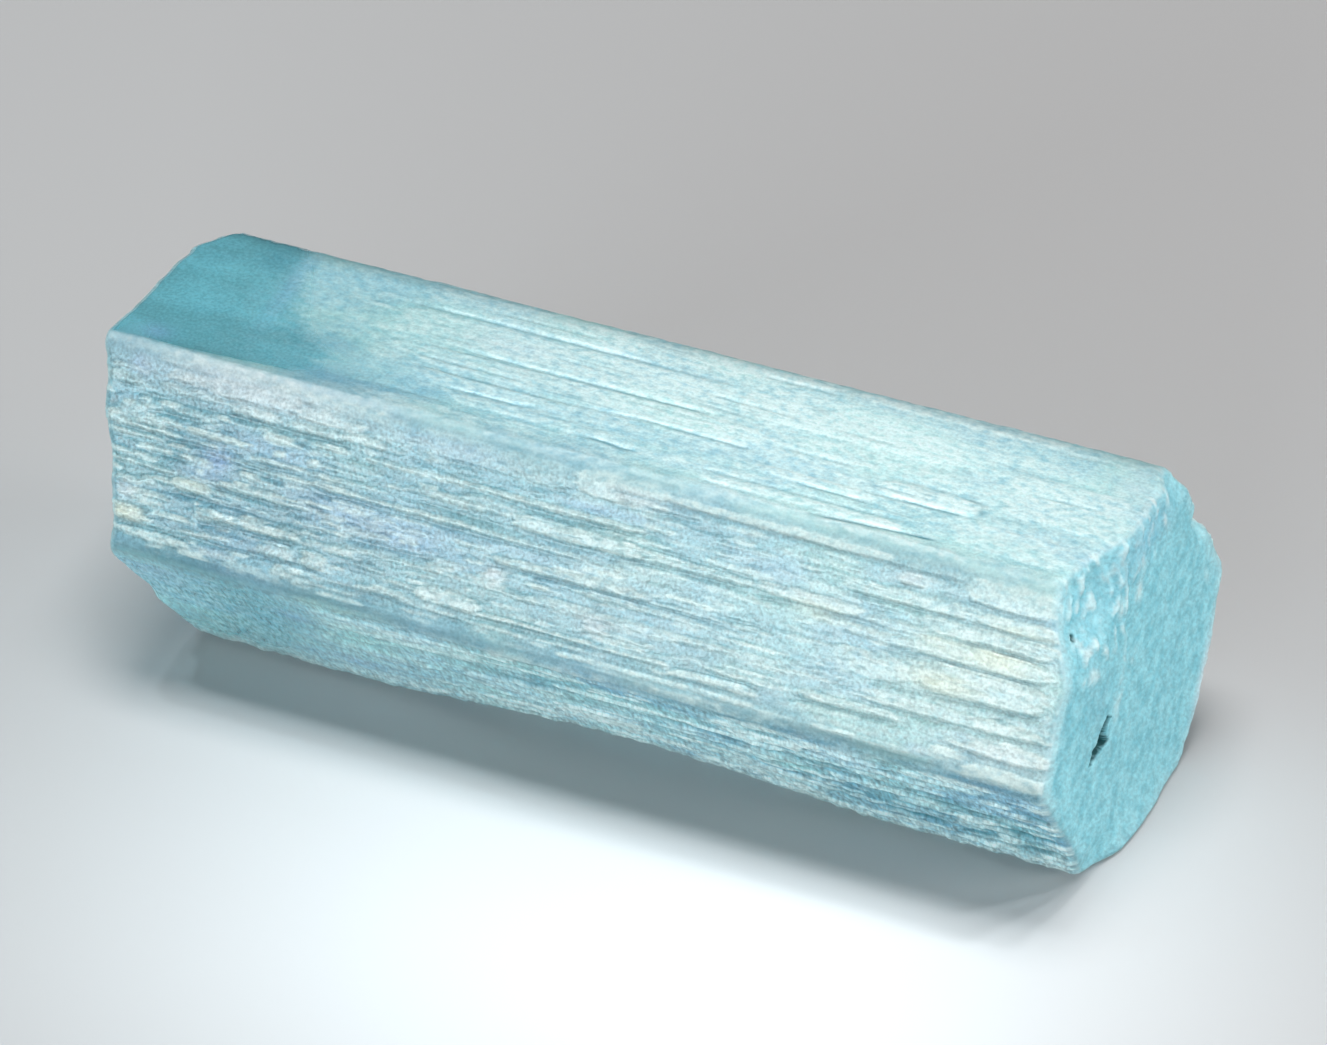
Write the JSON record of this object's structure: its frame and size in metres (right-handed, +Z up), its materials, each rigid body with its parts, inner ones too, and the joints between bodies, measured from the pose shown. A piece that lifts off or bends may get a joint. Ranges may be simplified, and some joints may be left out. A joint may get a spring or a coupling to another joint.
{
  "type": "aquamarine crystal",
  "caption": "Loose six-sided blue beryl crystal lying on one flat side, with lengthwise ledges and blunt broken ends; a display or study specimen.",
  "frame": {"origin": "under the middle of the crystal's box, in the plane of the side that it rests on", "axes": "+X along the crystal towards the flatter broken end, +Z up from the resting side, +Y towards the side without the scalloped bottom edge"},
  "size_m": [0.0512, 0.0196, 0.017],
  "materials": {
    "aquamarine": "satin"
  },
  "bodies": {
    "root": {"aquamarine_crystal": "aquamarine"}
  },
  "joints": []
}
